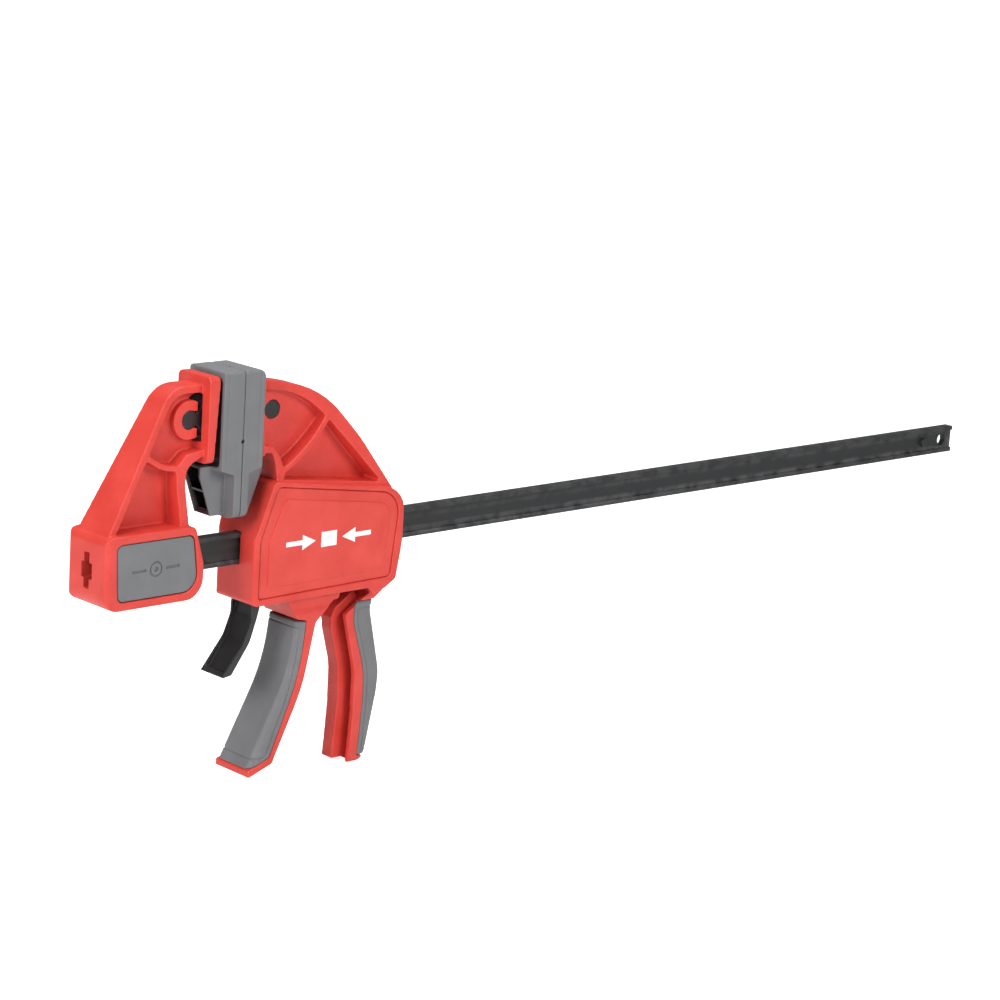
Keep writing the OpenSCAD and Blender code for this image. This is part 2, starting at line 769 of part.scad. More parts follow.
bar();
bar_stop_pins();
fixed_jaw();
lock_cover();
push_button();
lock_slider();
lock_pin();
button_spring();
fixed_pad_core();
fixed_pad_face();
moving_jaw();
side_cover_near();
side_cover_far();
rear_grip();
trigger_pivot_pin();
lever_pivot_pin();
drive_spring();
brake_spring();
moving_pad_core();
moving_pad_face();
trigger();
trigger_grip();
drive_plates();
release_lever();
brake_plates();
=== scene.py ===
"""Looks of the one-handed trigger bar clamp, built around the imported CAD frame."""

import json
import math

import bmesh
import bpy
import numpy as np
from mathutils import Matrix, Vector


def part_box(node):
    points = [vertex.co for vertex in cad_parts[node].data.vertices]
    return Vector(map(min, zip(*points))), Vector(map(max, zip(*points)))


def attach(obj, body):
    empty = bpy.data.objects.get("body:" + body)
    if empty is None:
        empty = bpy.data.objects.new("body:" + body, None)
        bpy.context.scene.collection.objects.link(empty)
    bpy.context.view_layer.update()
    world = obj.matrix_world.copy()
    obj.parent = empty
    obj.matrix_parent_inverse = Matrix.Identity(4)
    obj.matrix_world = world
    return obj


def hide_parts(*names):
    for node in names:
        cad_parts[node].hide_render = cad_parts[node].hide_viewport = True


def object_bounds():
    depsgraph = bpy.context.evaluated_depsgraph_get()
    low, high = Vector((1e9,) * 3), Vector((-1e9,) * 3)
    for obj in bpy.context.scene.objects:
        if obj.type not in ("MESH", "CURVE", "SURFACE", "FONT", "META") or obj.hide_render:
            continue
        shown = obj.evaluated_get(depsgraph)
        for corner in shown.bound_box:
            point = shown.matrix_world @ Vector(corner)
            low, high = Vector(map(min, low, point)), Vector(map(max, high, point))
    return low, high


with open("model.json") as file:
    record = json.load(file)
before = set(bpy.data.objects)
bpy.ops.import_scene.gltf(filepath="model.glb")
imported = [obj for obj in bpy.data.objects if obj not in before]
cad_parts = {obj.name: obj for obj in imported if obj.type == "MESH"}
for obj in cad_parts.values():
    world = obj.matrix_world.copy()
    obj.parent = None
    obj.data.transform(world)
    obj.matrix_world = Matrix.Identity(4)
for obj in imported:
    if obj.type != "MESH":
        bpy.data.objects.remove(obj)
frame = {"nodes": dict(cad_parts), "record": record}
cad_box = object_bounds()

MM = 0.001
WELD = 1e-6  # points nearer than this are one point
SHARP = math.radians(30)  # edges sharper than this are rounded over
FLAT = math.radians(0.6)  # faces that meet flatter than this are one face


# ---------------------------------------------------------------- mesh helpers


def coords(mesh):
    """Every vertex of a mesh as rows of x, y, z."""
    flat = np.zeros(len(mesh.vertices) * 3)
    mesh.vertices.foreach_get("co", flat)
    return flat.reshape(-1, 3)


def set_coords(mesh, points):
    """Moves a mesh's vertices to rows of x, y, z."""
    mesh.vertices.foreach_set("co", points.astype(np.float32).ravel())
    mesh.update()


def edge_ends(mesh):
    """The two vertex numbers of every edge, as two arrays."""
    flat = np.zeros(len(mesh.edges) * 2, int)
    mesh.edges.foreach_get("vertices", flat)
    return flat[::2], flat[1::2]


def normals(mesh):
    """The unit normal at every vertex of a mesh, as rows."""
    flat = np.zeros(len(mesh.vertices) * 3)
    mesh.vertex_normals.foreach_get("vector", flat)
    return flat.reshape(-1, 3)


def add_object(name, mesh):
    obj = bpy.data.objects.new(name, mesh)
    bpy.context.scene.collection.objects.link(obj)
    return obj


def from_points(name, points, faces):
    """A smooth-shaded piece from points in metres and faces."""
    mesh = bpy.data.meshes.new(name)
    mesh.from_pydata([tuple(p) for p in points], [], faces)
    mesh.validate()
    mesh.polygons.foreach_set("use_smooth", [True] * len(mesh.polygons))
    mesh.update()
    return add_object(name, mesh)


def outward(obj):
    """Turns every face of a closed piece to look outwards."""
    work = bmesh.new()
    work.from_mesh(obj.data)
    bmesh.ops.recalc_face_normals(work, faces=work.faces)
    work.to_mesh(obj.data)
    work.free()
    return obj


def apply_modifiers(obj):
    """Turns an object's modifiers into its mesh."""
    graph = bpy.context.evaluated_depsgraph_get()
    made = bpy.data.meshes.new_from_object(obj.evaluated_get(graph))
    obj.modifiers.clear()
    obj.data = made
    return obj


def even_shading(obj):
    """Keeps large flat faces flat while their rounded edges shade smoothly."""
    obj.data.polygons.foreach_set("use_smooth", [True] * len(obj.data.polygons))
    shade = obj.modifiers.new("even_shading", "WEIGHTED_NORMAL")
    shade.weight = 100
    shade.keep_sharp = False
    return obj


def finish_piece(obj, node, material):
    """Puts a piece on its node's body and slot, in place of the CAD node."""
    obj.data.materials.clear()
    obj.data.materials.append(material)
    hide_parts(node)
    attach(obj, BODY_OF[node])
    return obj


BODY_OF = {
    node: body
    for body, members in frame["record"]["behaviour"]["bodies"].items()
    for node in members
}
SLOT_OF = {row["node"]: row["material_slot"] for row in frame["record"]["subparts"]}


def relax(mesh, passes, crisp=None):
    """Rounds edges and fills inner corners, as moulding does; flat faces stay put.

    Edges inside the box crisp, given as its low and high corner, are left sharp.
    """
    points = coords(mesh)
    free = np.ones((len(points), 1))
    if crisp is not None:
        free[((points > crisp[0]) & (points < crisp[1])).all(1)] = 0
    a, b = edge_ends(mesh)
    count = len(points)
    degree = np.bincount(a, minlength=count) + np.bincount(b, minlength=count)
    for _ in range(passes):
        mean = np.empty_like(points)
        for axis in range(3):
            sums = np.bincount(a, points[b, axis], count) + np.bincount(b, points[a, axis], count)
            mean[:, axis] = sums / degree
        points += 0.5 * free * (mean - points)
    set_coords(mesh, points)


def moulded(node, voxel, passes, crisp=None):
    """A copy of a CAD node with the soft edges of a moulding."""
    mesh = frame["nodes"][node].data.copy()
    obj = add_object(node + "_moulded", mesh)
    remesh = obj.modifiers.new("remesh", "REMESH")
    remesh.mode = "VOXEL"
    remesh.voxel_size = voxel * 1.0
    remesh.use_smooth_shade = True
    apply_modifiers(obj)
    obj.data.name = obj.name
    relax(obj.data, passes, crisp=crisp)
    return obj


def edged(node, width):
    """A copy of a CAD node with its sharp edges rounded over."""
    mesh = frame["nodes"][node].data.copy()
    work = bmesh.new()
    work.from_mesh(mesh)
    bmesh.ops.remove_doubles(work, verts=work.verts, dist=WELD)
    bmesh.ops.dissolve_limit(work, angle_limit=FLAT, verts=work.verts, edges=work.edges)
    sharp = [e for e in work.edges if len(e.link_faces) == 2 and e.calc_face_angle(0) > SHARP]
    bmesh.ops.bevel(
        work, geom=sharp, offset=width, segments=2, profile=0.5,
        affect="EDGES", clamp_overlap=True,
    )
    fresh = bpy.data.meshes.new(node + "_edged")
    work.to_mesh(fresh)
    work.free()
    return even_shading(add_object(node + "_edged", fresh))


def inset(outline, distance):
    """A counter-clockwise outline moved inwards."""
    ahead = np.roll(outline, -1, 0) - outline
    ahead /= np.linalg.norm(ahead, axis=1)[:, None]
    before = np.roll(ahead, 1, 0)
    n0 = np.stack([-before[:, 1], before[:, 0]], 1)
    n1 = np.stack([-ahead[:, 1], ahead[:, 0]], 1)
    scale = 1 + (n0 * n1).sum(1)
    return outline + distance * (n0 + n1) / scale[:, None]


def plate(name, outline, y_back, y_front, edge, steps=4):
    """A plate whose outline is in x and z, with a rounded rim round its front."""
    toward = math.copysign(1, y_front - y_back)
    rings = [(0.0, y_back)]
    for k in range(steps + 1):
        turn = math.pi / 2 * k / steps
        depth = toward * edge * (1 - math.sin(turn))
        rings.append((edge * (1 - math.cos(turn)), y_front - depth))
    n = len(outline)
    points = []
    for moved, y in rings:
        for x, z in inset(outline, moved):
            points.append((x, y, z))
    faces = []
    for r in range(len(rings) - 1):
        for i in range(n):
            j = (i + 1) % n
            faces.append((r * n + i, r * n + j, (r + 1) * n + j, (r + 1) * n + i))
    faces.append(tuple(range(n)))
    faces.append(tuple(range((len(rings) - 1) * n, len(rings) * n))[::-1])
    return even_shading(outward(from_points(name, points, faces)))


def rounded(corners, steps=6):
    """An outline from corners (x, z, radius), each rounded by an arc."""
    out = []
    for i, (x, z, r) in enumerate(corners):
        here = np.array([x, z])
        u = np.array(corners[i - 1][:2]) - here
        v = np.array(corners[(i + 1) % len(corners)][:2]) - here
        u, v = u / np.linalg.norm(u), v / np.linalg.norm(v)
        half = math.acos(float(np.clip(u @ v, -1, 1))) / 2
        middle = u + v
        centre = here + middle / np.linalg.norm(middle) * r / math.sin(half)
        start = here + u * r / math.tan(half) - centre
        end = here + v * r / math.tan(half) - centre
        a0 = math.atan2(start[1], start[0])
        turn = (math.atan2(end[1], end[0]) - a0 + math.pi) % (2 * math.pi) - math.pi
        for k in range(steps + 1):
            a = a0 + turn * k / steps
            out.append(centre + r * np.array([math.cos(a), math.sin(a)]))
    out = np.array(out)
    area = np.cross(out, np.roll(out, -1, 0)).sum()
    return out if area > 0 else out[::-1]


def front_outline(node, side):
    """The outline in x and z of a plate-like CAD node's outer face (side -1 or +1)."""
    points = coords(frame["nodes"][node].data)
    y = points[:, 1]
    face = y.min() if side < 0 else y.max()
    ring = np.unique(np.round(points[np.abs(y - face) < WELD][:, [0, 2]], 7), axis=0)
    centre = (ring.min(0) + ring.max(0)) / 2
    order = np.argsort(np.arctan2(ring[:, 1] - centre[1], ring[:, 0] - centre[0]))
    return ring[order]


class Slices:
    """Reads a CAD node's extent at a height, so that a surface can follow it."""

    def __init__(self, node):
        mesh = frame["nodes"][node].data
        points = coords(mesh)
        a, b = edge_ends(mesh)
        self.a, self.b = points[a], points[b]

    def at(self, z):
        """Lowest and highest x, and highest y, where the node is cut at height z."""
        za, zb = self.a[:, 2], self.b[:, 2]
        hit = (za - z) * (zb - z) < 0
        t = ((z - za[hit]) / (zb[hit] - za[hit]))[:, None]
        cut = self.a[hit] + t * (self.b[hit] - self.a[hit])
        return cut[:, 0].min(), cut[:, 0].max(), cut[:, 1].max()


def smooth_rows(values, passes=30):
    """Takes the facets out of a row of sampled values; its two ends stay."""
    out = np.array(values, float)
    for _ in range(passes):
        out[1:-1] = (out[:-2] + 2 * out[1:-1] + out[2:]) / 4
    return out


def shell_faces(rows, cols):
    """Faces of an outer grid and an inner grid, joined round their rims."""
    inner = rows * cols

    def quad(i, j, base, flip):
        a = base + i * cols + j
        face = (a, a + 1, a + cols + 1, a + cols)
        return face[::-1] if flip else face

    faces = [quad(i, j, 0, False) for i in range(rows - 1) for j in range(cols - 1)]
    faces += [quad(i, j, inner, True) for i in range(rows - 1) for j in range(cols - 1)]
    for i in range(rows - 1):
        for j, flip in ((0, False), (cols - 1, True)):
            a, b = i * cols + j, (i + 1) * cols + j
            face = (a, b, inner + b, inner + a)
            faces.append(face[::-1] if flip else face)
    for j in range(cols - 1):
        for i, flip in ((0, True), (rows - 1, False)):
            a, b = i * cols + j, i * cols + j + 1
            face = (a, b, inner + b, inner + a)
            faces.append(face[::-1] if flip else face)
    return faces


# ---------------------------------------------------------------- materials


class Nodes:
    """A node tree that reads as a list of steps."""

    def __init__(self, name):
        self.material = bpy.data.materials.new(name)
        self.material.use_nodes = True
        self.tree = self.material.node_tree
        self.shader = self.tree.nodes["Principled BSDF"]
        self.place = self.tree.nodes.new("ShaderNodeTexCoord").outputs["Object"]

    def link(self, source, target):
        self.tree.links.new(source, target)

    def set(self, **values):
        for key, value in values.items():
            self.shader.inputs[key.replace("_", " ")].default_value = value

    def stretched(self, scale):
        node = self.tree.nodes.new("ShaderNodeMapping")
        node.inputs["Scale"].default_value = scale
        self.link(self.place, node.inputs["Vector"])
        return node.outputs["Vector"]

    def noise(self, scale, detail=3.0, vector=None, rough=0.5):
        node = self.tree.nodes.new("ShaderNodeTexNoise")
        node.inputs["Scale"].default_value = scale
        node.inputs["Detail"].default_value = detail
        node.inputs["Roughness"].default_value = rough
        self.link(vector or self.place, node.inputs["Vector"])
        return node.outputs["Fac"]

    def cells(self, scale):
        node = self.tree.nodes.new("ShaderNodeTexVoronoi")
        node.inputs["Scale"].default_value = scale
        self.link(self.place, node.inputs["Vector"])
        return node.outputs["Distance"]

    # Convex-edge mask, for edges painted paler: partly wear, partly painted highlight.
    def edge_wear_and_highlight(self):
        node = self.tree.nodes.new("ShaderNodeNewGeometry")
        return node.outputs["Pointiness"]

    def spread(self, value, low, high, out_low=0.0, out_high=1.0):
        node = self.tree.nodes.new("ShaderNodeMapRange")
        for key, number in (("From Min", low), ("From Max", high),
                            ("To Min", out_low), ("To Max", out_high)):
            node.inputs[key].default_value = number
        self.link(value, node.inputs["Value"])
        return node.outputs["Result"]

    def product(self, a, b):
        node = self.tree.nodes.new("ShaderNodeMath")
        node.operation = "MULTIPLY"
        self.link(a, node.inputs[0])
        self.link(b, node.inputs[1])
        return node.outputs["Value"]

    def mix(self, amount, a, b):
        """Mixes two colours, each a tuple or a socket."""
        node = self.tree.nodes.new("ShaderNodeMix")
        node.data_type = "RGBA"
        self.link(amount, node.inputs["Factor"])
        for value, socket in ((a, node.inputs["A"]), (b, node.inputs["B"])):
            if isinstance(value, tuple):
                socket.default_value = (*value, 1)
            else:
                self.link(value, socket)
        return node.outputs["Result"]

    def bump(self, height, depth, strength=1.0, under=None):
        node = self.tree.nodes.new("ShaderNodeBump")
        node.inputs["Distance"].default_value = depth
        node.inputs["Strength"].default_value = strength
        self.link(height, node.inputs["Height"])
        if under is not None:
            self.link(under, node.inputs["Normal"])
        return node.outputs["Normal"]

    def done(self, colour=None, rough=None, normal=None):
        for socket, name in ((colour, "Base Color"), (rough, "Roughness"), (normal, "Normal")):
            if socket is not None:
                self.link(socket, self.shader.inputs[name])
        return self.material


def red_nylon():
    """Glass-filled nylon: cloudy colour, a fine spark-eroded grain, paler edges: wear and painted
    highlight.
    """
    n = Nodes("red_nylon")
    n.set(Specular_IOR_Level=0.42)
    cloud = n.noise(38, 4)
    body = n.mix(n.spread(cloud, 0.35, 0.68), (0.60, 0.040, 0.028), (0.68, 0.056, 0.042))
    fibre = n.noise(900, 2, n.stretched((1, 1, 2.5)))
    body = n.mix(n.spread(fibre, 0.45, 0.8, 0, 0.16), body, (0.93, 0.14, 0.10))
    # Convex edges painted a paler pink, made patchy by noise: partly wear, partly a painted
    # highlight on the rounded edges.
    edge = n.product(n.spread(n.edge_wear_and_highlight(), 0.515, 0.60), n.spread(n.noise(60, 3), 0.3, 0.6))
    body = n.mix(n.spread(edge, 0, 1, 0, 0.35), body, (0.97, 0.20, 0.15))
    grain = n.bump(n.noise(2600, 2), 0.00005, 0.35)
    grain = n.bump(n.noise(140, 2), 0.0002, 0.06, grain)
    return n.done(body, n.spread(n.noise(90, 3), 0.3, 0.7, 0.36, 0.50), grain)


def soft_grey():
    """Soft-touch rubber: matte, with a fine pitted skin and a little dust."""
    n = Nodes("soft_grey")
    n.set(Specular_IOR_Level=0.35, Sheen_Weight=0.06, Sheen_Roughness=0.5)
    cloud = n.noise(45, 4)
    body = n.mix(n.spread(cloud, 0.3, 0.7), (0.150, 0.153, 0.160), (0.174, 0.177, 0.183))
    dust = n.noise(1500, 2)
    body = n.mix(n.spread(dust, 0.62, 0.8, 0, 0.25), body, (0.34, 0.34, 0.34))
    grain = n.bump(n.cells(2200), 0.00005, 0.30)
    return n.done(body, n.spread(n.noise(70, 3), 0.3, 0.7, 0.46, 0.62), grain)


def black_plastic():
    """Black moulded plastic with faint flow marks."""
    n = Nodes("black_plastic")
    n.set(Specular_IOR_Level=0.5)
    flow = n.noise(60, 5, n.stretched((1, 1, 0.3)))
    body = n.mix(n.spread(flow, 0.3, 0.75), (0.009, 0.009, 0.010), (0.022, 0.022, 0.024))
    # Convex edges painted grey, made patchy by noise: partly scuffs, partly a painted gloss
    # highlight.
    scuff_and_highlight = n.product(n.spread(n.edge_wear_and_highlight(), 0.52, 0.62), n.spread(n.noise(240, 3), 0.4, 0.6))
    body = n.mix(n.spread(scuff_and_highlight, 0, 1, 0, 0.5), body, (0.13, 0.13, 0.135))
    grain = n.bump(n.noise(2200, 2), 0.00004, 0.3)
    return n.done(body, n.spread(flow, 0.3, 0.7, 0.30, 0.46), grain)


def bar_steel():
    """Blackened rolled steel: fine lengthwise draw marks, edges painted a little brighter:
    rubbing and painted highlight.
    """
    n = Nodes("bar_steel")
    n.set(Metallic=0.1, Specular_IOR_Level=0.35)
    draw = n.noise(60, 5, n.stretched((0.04, 16, 16)), 0.6)
    body = n.mix(n.spread(draw, 0.3, 0.7), (0.019, 0.020, 0.021), (0.023, 0.024, 0.025))
    # Convex edges painted brighter, made patchy by noise: partly rubbing, partly a painted
    # highlight on the bar's lit ledges.
    rub_and_highlight = n.product(n.spread(n.edge_wear_and_highlight(), 0.54, 0.62), n.spread(n.noise(90, 3), 0.35, 0.6))
    body = n.mix(n.spread(rub_and_highlight, 0, 1, 0, 0.5), body, (0.16, 0.16, 0.165))
    marks = n.bump(draw, 0.00004, 0.2)
    return n.done(body, n.spread(draw, 0.3, 0.7, 0.42, 0.55), marks)


def bright_steel():
    """Ground steel for pins, plates and springs."""
    n = Nodes("bright_steel")
    n.set(Metallic=1.0)
    turn = n.noise(70, 4, n.stretched((1, 25, 1)))
    body = n.mix(n.spread(turn, 0.3, 0.7), (0.42, 0.42, 0.43), (0.62, 0.62, 0.63))
    marks = n.bump(turn, 0.00004, 0.3)
    return n.done(body, n.spread(turn, 0.3, 0.7, 0.26, 0.42), marks)


def white_print():
    """Pad-printed white ink, a little thin in places."""
    n = Nodes("white_print")
    ink = n.noise(700, 3)
    body = n.mix(n.spread(ink, 0.62, 0.80, 0, 0.5), (0.86, 0.86, 0.86), (0.85, 0.45, 0.42))
    grain = n.bump(n.noise(2600, 2), 0.00004, 0.25)
    return n.done(body, n.spread(ink, 0.3, 0.7, 0.40, 0.55), grain)


def pale_floor():
    """White paper that looks white to the camera but throws little light up at the part."""
    n = Nodes("pale_floor")
    tone = n.noise(1.5, 3)
    body = n.mix(n.spread(tone, 0.3, 0.7), (0.86, 0.86, 0.865), (0.90, 0.90, 0.90))
    n.set(Emission_Color=(1, 1, 1, 1))
    seen = n.tree.nodes.new("ShaderNodeLightPath").outputs["Is Camera Ray"]
    n.link(n.spread(seen, 0, 1, 0.12, 0.85), n.shader.inputs["Emission Strength"])
    return n.done(body, n.spread(tone, 0.3, 0.7, 0.55, 0.65))


RED = red_nylon()
GREY = soft_grey()
BLACK = black_plastic()
BAR = bar_steel()
BRIGHT = bright_steel()
INK = white_print()
OF_SLOT = {
    "red_nylon": RED,
    "grey_rubber": GREY,
    "black_plastic": BLACK,
    "bar_steel": BAR,
    "bright_steel": BRIGHT,
    "spring_steel": BRIGHT,
}


# ---------------------------------------------------------------- pieces


# Low and high corner of the box round the fixed jaw's cross-shaped window, which stays crisp.
KEY_WINDOW = np.array([(-0.130, -0.0068, -0.0135), (-0.100, 0.0068, 0.0135)])


def build_mouldings():
    """The jaws, the trigger, the lever and the pads' cores."""
    for node, voxel, passes in (
        ("fixed_jaw", 0.50 * MM, 3),
        ("moving_jaw", 0.52 * MM, 3),
        ("trigger", 0.50 * MM, 3),
        ("release_lever", 0.45 * MM, 3),
        ("fixed_pad_core", 0.45 * MM, 3),
        ("moving_pad_core", 0.45 * MM, 3),
    ):
        obj = moulded(node, voxel, passes, KEY_WINDOW if node == "fixed_jaw" else None)
        finish_piece(obj, node, OF_SLOT[SLOT_OF[node]])


def build_pad_faces():
    """Soft pad covers, with a lip round the edge that grips the core."""
    lip = 4.0 * MM
    lip_width = 0.45 * MM
    lip_depth = 0.35 * MM
    back = 17.5 * MM
    wedge_top = 63 * MM
    border = 3 * MM
    for node in ("fixed_pad_face", "moving_pad_face"):
        obj = moulded(node, 0.42 * MM, 4)
        points = coords(obj.data)
        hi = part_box(node)[1]
        from_back = back - np.abs(points[:, 0])
        near = np.exp(-(((from_back - lip) / lip_width) ** 2))
        on_block = points[:, 2] > wedge_top
        rim = (np.abs(points[:, 1]) > hi.y - border) | (points[:, 2] > hi.z - border)
        points -= normals(obj.data) * (near * on_block * rim * lip_depth)[:, None]
        set_coords(obj.data, points)
        finish_piece(obj, node, GREY)


def build_trigger_grip():
    """Soft cover on the trigger, with a border engraved round its sides and front."""
    node = "trigger_grip"
    obj = moulded(node, 0.40 * MM, 12)
    cut = Slices(node)
    lo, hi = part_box(node)
    end = 0.3 * MM
    toe = 3 * MM
    border = 4.0 * MM
    groove_depth = 0.8 * MM
    groove_width = 0.5 * MM
    slant = 0.93  # cosine of the trigger's lean, from x distance to distance across it
    zs = np.linspace(lo.z + end, hi.z - end, 200)
    back = smooth_rows([cut.at(z)[1] for z in zs])
    points = coords(obj.data)
    from_back = slant * (np.interp(points[:, 2], zs, back) - points[:, 0])
    from_end = np.minimum(hi.z - points[:, 2], points[:, 2] - lo.z - toe)
    line = np.minimum(from_back, from_end) - border
    groove = groove_depth * np.exp(-((line / groove_width) ** 2))
    points -= normals(obj.data) * groove[:, None]
    set_coords(obj.data, points)
    finish_piece(obj, node, GREY)


def build_rear_grip():
    """Soft cover that wraps the back and sides of the rear handle."""
    node = "rear_grip"
    cut = Slices(node)
    lo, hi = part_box(node)
    step = 0.42 * MM
    end = 0.3 * MM
    rows = int((hi.z - lo.z) / step)
    zs = np.linspace(hi.z - end, lo.z + end, rows)
    spans = np.array([cut.at(z) for z in zs])
    front = smooth_rows(spans[:, 0], 12)
    back = smooth_rows(spans[:, 1], 40)
    half = hi.y
    radius = 6.5 * MM
    thick = 2.3 * MM
    rim = 1.6 * MM
    rim_drop = 1.1 * MM
    border, top_border, foot_border = 3.8 * MM, 5 * MM, 4.5 * MM
    groove_depth = 0.7 * MM
    groove_width = 0.48 * MM
    run = np.concatenate([[0], np.cumsum(np.hypot(np.diff(back), np.diff(zs)))])
    from_end = np.minimum(run, run[-1] - run)
    cols = 170
    outer, inner = [], []
    for i in range(rows):
        side = max(back[i] - radius - front[i], 0.5 * MM)
        arc = radius * math.pi / 2
        flat = 2 * (half - radius)
        total = 2 * side + 2 * arc + flat
        s = np.linspace(0, total, cols)
        away = np.minimum(s, total - s)
        mirror = np.where(s < total / 2, -1.0, 1.0)
        turn = np.clip((away - side) / radius, 0, math.pi / 2)
        x = front[i] + np.minimum(away, side) + radius * np.sin(turn)
        y = half - radius * (1 - np.cos(turn)) - np.maximum(away - side - arc, 0)
        nx, ny = np.sin(turn), np.cos(turn)
        soft = np.sqrt(np.clip(1 - (1 - np.clip(away / rim, 0, 1)) ** 2, 0, 1))
        ends = math.sqrt(1 - (1 - min(from_end[i] / rim, 1)) ** 2)
        end_line = min(run[i] - top_border, run[-1] - run[i] - foot_border)
        line = np.minimum(away - border, end_line)
        sunk = groove_depth * np.exp(-((line / groove_width) ** 2))
        sunk = sunk + rim_drop * (1 - soft * ends)
        height = np.full(cols, zs[i])
        outer.append(np.stack([x - nx * sunk, mirror * (y - ny * sunk), height], 1))
        inner.append(np.stack([x - nx * thick, mirror * (y - ny * thick), height], 1))
    points = np.array([outer, inner])
    obj = from_points(node + "_soft", points.reshape(-1, 3), shell_faces(rows, cols))
    finish_piece(outward(obj), node, GREY)


def cover_inner_outline(lo, hi):
    """The outline of a side cover's raised field, as shares of the cover's own box."""
    w, h = hi.x - lo.x, hi.z - lo.z
    share = (
        (0.062, 0.100, 0.020), (0.062, 0.520, 0.040), (0.168, 0.885, 0.030),
        (0.940, 0.715, 0.085), (0.892, 0.108, 0.020),
    )
    return rounded([(lo.x + a * w, lo.z + b * h, r * w) for a, b, r in share])


def build_side_covers():
    """Panels let into the body, each with a slightly raised field."""
    field_step = 0.6 * MM
    gap = 0.5 * MM
    for node, side in (("side_cover_near", -1), ("side_cover_far", 1)):
        lo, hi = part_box(node)
        outer_y = lo.y if side < 0 else hi.y
        inner_y = hi.y if side < 0 else lo.y
        field_y = outer_y - side * field_step
        rim = inset(front_outline(node, side), gap)
        base = plate(node + "_panel", rim, inner_y, field_y, 0.7 * MM)
        finish_piece(base, node, RED)
        field = plate(node + "_field", cover_inner_outline(lo, hi), inner_y, outer_y, 0.3 * MM)
        finish_piece(field, node, RED)


def prisms(name, shapes, y0, y1):
    """Flat-sided solids from outlines in x and z, between two y values."""
    points, faces = [], []
    for shape in shapes:
        base, n = len(points), len(shape)
        points += [(x, y, z) for y in (y0, y1) for x, z in shape]
        faces.append(tuple(range(base, base + n)))
        faces.append(tuple(range(base + n, base + 2 * n)))
        for i in range(n):
            j = (i + 1) % n
            faces.append((base + i, base + j, base + n + j, base + n + i))
    obj = outward(from_points(name, points, faces))
    obj.data.polygons.foreach_set("use_smooth", [False] * len(obj.data.polygons))
    return obj


def bar_shape(x0, x1, z0, z1):
    return [(x0, z0), (x1, z0), (x1, z1), (x0, z1)]


def build_cover_mark():
    """A plain clamp sign in white ink: two arrows closing on a block."""
    node = "side_cover_near"
    lo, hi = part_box(node)
    cx, cz = (lo.x + hi.x) / 2 - 1.6 * MM, 2.8 * MM
    tall, thin, block = 5.4 * MM, 1.7 * MM, 7 * MM
    shapes = [bar_shape(cx - block, cx + block, cz - tall, cz + tall)]
    for side in (-1, 1):
        tip, foot, end = (cx + side * far * MM for far in (12, 24, 38.5))
        arrow = [(tip, cz), (foot, cz + tall), (foot, cz + thin), (end, cz + thin),
                 (end, cz - thin), (foot, cz - thin), (foot, cz - tall)]
        shapes.append(arrow if side < 0 else arrow[::-1])
    obj = prisms("cover_mark", shapes, lo.y + 0.1 * MM, lo.y - 0.04 * MM)
    obj.data.materials.append(INK)
    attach(obj, BODY_OF[node])


def ring_prism(name, centre, outer, inner, y0, y1, steps=48):
    """A flat ring, or a disc when inner is nought, that cuts the button's sign."""
    cx, cz = centre
    points, faces = [], []
    turns = [2 * math.pi * k / steps for k in range(steps)]
    radii = (outer, inner) if inner else (outer,)
    for r in radii:
        for y in (y0, y1):
            points += [(cx + r * math.cos(a), y, cz + r * math.sin(a)) for a in turns]
    for k in range(steps):
        j = (k + 1) % steps
        faces.append((k, j, steps + j, steps + k))
        if inner:
            a, b = 2 * steps, 3 * steps
            faces.append((a + k, a + j, b + j, b + k))
            faces.append((k, j, a + j, a + k))
            faces.append((steps + k, steps + j, b + j, b + k))
    if not inner:
        faces.append(tuple(range(steps)))
        faces.append(tuple(range(steps, 2 * steps)))
    return outward(from_points(name, points, faces))


def build_button():
    """The grey button, with a plain press sign sunk into its face."""
    node = "push_button"
    lo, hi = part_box(node)
    obj = plate(node + "_soft", front_outline(node, -1), hi.y, lo.y, 0.9 * MM, 5)
    cx, cz = (lo.x + hi.x) / 2 - 1 * MM, (lo.z + hi.z) / 2
    sign_depth = 1.0 * MM
    y0, y1 = lo.y - MM, lo.y + sign_depth
    bars = [bar_shape(cx + a * MM, cx + b * MM, cz - 1.0 * MM, cz + 1.0 * MM)
            for a, b in ((-19.5, -8), (8, 19.5))]
    cutters = [
        ring_prism("cut_ring", (cx, cz), 5.4 * MM, 4.0 * MM, y0, y1),
        ring_prism("cut_dot", (cx, cz), 1.8 * MM, 0.0, y0, y1),
        prisms("cut_bars", bars, y0, y1),
    ]
    for cutter in cutters:
        cut = obj.modifiers.new(cutter.name, "BOOLEAN")
        cut.operation = "DIFFERENCE"
        cut.solver = "EXACT"
        cut.object = cutter
        obj.modifiers.move(len(obj.modifiers) - 1, 0)
    apply_modifiers(obj)
    for cutter in cutters:
        bpy.data.objects.remove(cutter)
    even_shading(obj)
    finish_piece(obj, node, GREY)


def build_metal():
    """The bar, its stop pins and the lock's cover, with broken edges."""
    for node, width, material in (
        ("bar", 0.45 * MM, BAR),
        ("bar_stop_pins", 0.5 * MM, BAR),
        ("lock_cover", 0.5 * MM, BLACK),
    ):
        finish_piece(edged(node, width), node, material)


def paint_cad_nodes():
    """Nodes that are shown as CAD get their material in place."""
    for node, obj in frame["nodes"].items():
        if not obj.hide_render:
            obj.data.materials.clear()
            obj.data.materials.append(OF_SLOT[SLOT_OF[node]])


build_mouldings()
build_pad_faces()
build_trigger_grip()
build_rear_grip()
build_side_covers()
build_cover_mark()
build_button()
build_metal()
paint_cad_nodes()


# ---------------------------------------------------------------- stage, light, camera


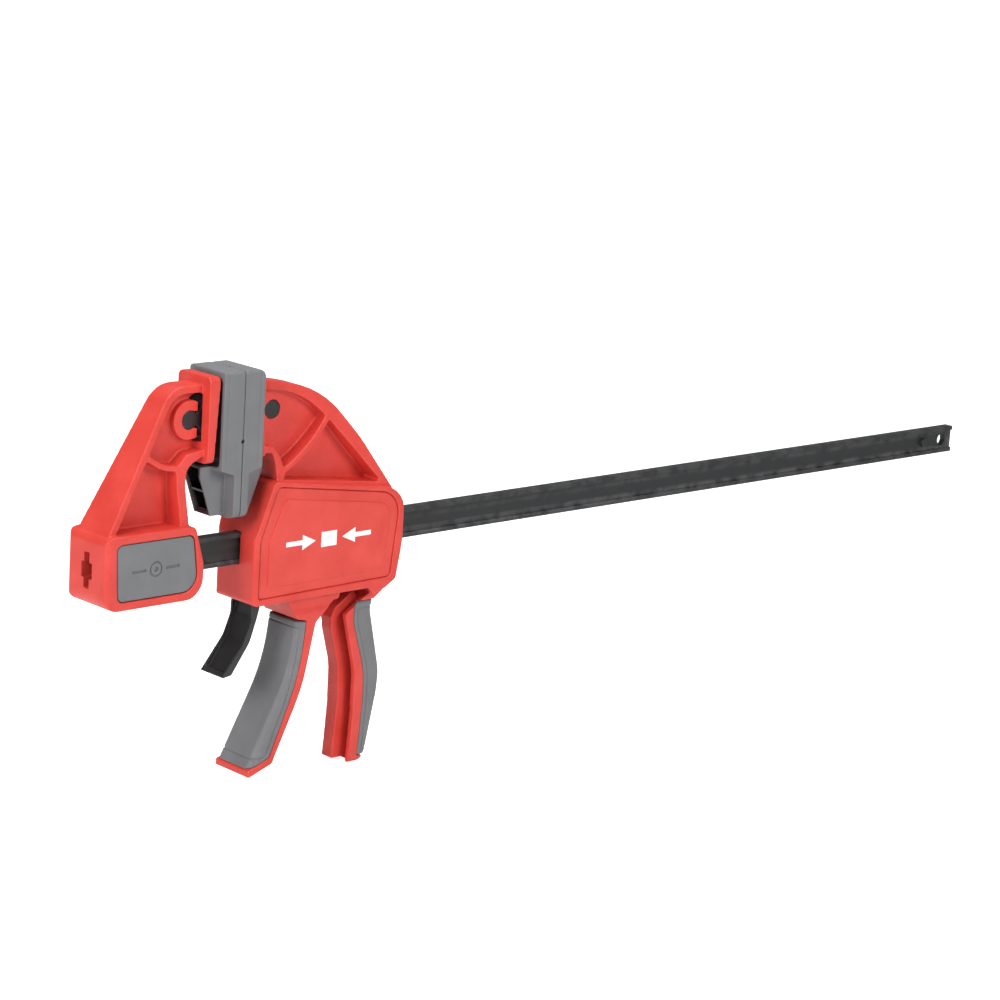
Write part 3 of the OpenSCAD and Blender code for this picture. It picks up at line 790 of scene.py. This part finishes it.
def build_floor():
    """A wide, flat, pale floor just under the handles' feet."""
    z = cad_box[0].z - 0.2 * MM
    size = 30  # metres, so that its edge is far behind the part
    floor = from_points(
        "floor", [(-size, -size, z), (size, -size, z), (size, size, z), (-size, size, z)],
        [(0, 1, 2, 3)],
    )
    floor.data.materials.append(pale_floor())


def area_light(name, place, target, size, power):
    """A round white lamp that faces the target."""
    light = bpy.data.lights.new(name, "AREA")
    light.shape = "DISK"
    light.size = size
    light.energy = power
    obj = bpy.data.objects.new(name, light)
    bpy.context.scene.collection.objects.link(obj)
    obj.location = place
    obj.rotation_euler = (Vector(target) - Vector(place)).to_track_quat("-Z", "Y").to_euler()


def build_light():
    """A sky that looks white but lights weakly, and three large soft lamps."""
    world = bpy.data.worlds.new("studio")
    world.use_nodes = True
    tree = world.node_tree
    sky = tree.nodes["Background"]
    sky.inputs["Color"].default_value = (1, 1, 1, 1)
    strength = tree.nodes.new("ShaderNodeMapRange")
    strength.inputs["To Min"].default_value = 0.22  # to light the part
    strength.inputs["To Max"].default_value = 1.0  # as the camera sees it
    seen = tree.nodes.new("ShaderNodeLightPath").outputs["Is Camera Ray"]
    tree.links.new(seen, strength.inputs["Value"])
    tree.links.new(strength.outputs["Result"], sky.inputs["Strength"])
    bpy.context.scene.world = world
    middle = (0.05, 0, 0.02)
    area_light("key", (0.35, -1.6, 0.9), middle, 0.8, 17)
    area_light("fill", (-1.6, -0.4, 0.75), middle, 0.8, 20)
    area_light("top", (0.1, 0.2, 1.8), middle, 1.2, 24)


def build_camera():
    """The camera looks at the jaws from the button's side, a little from above."""
    place = (-1.2565, -1.5574, 0.504)
    yaw, pitch, roll = math.radians(44.29), math.radians(-12.92), math.radians(3.66)
    level = math.cos(pitch)
    forward = Vector((math.sin(yaw) * level, math.cos(yaw) * level, math.sin(pitch)))
    right = forward.cross(Vector((0, 0, 1))).normalized()
    up = right.cross(forward)
    turned_right = right * math.cos(roll) + up * math.sin(roll)
    turned_up = up * math.cos(roll) - right * math.sin(roll)
    data = bpy.data.cameras.new("camera")
    data.sensor_width = 36
    data.lens = 108.4
    data.clip_end = 100
    camera = bpy.data.objects.new("camera", data)
    bpy.context.scene.collection.objects.link(camera)
    axes = Matrix((turned_right, turned_up, -forward)).transposed().to_4x4()
    camera.matrix_world = Matrix.Translation(place) @ axes
    bpy.context.scene.camera = camera


build_floor()
build_light()
build_camera()
bpy.context.scene.view_settings.view_transform = "Standard"
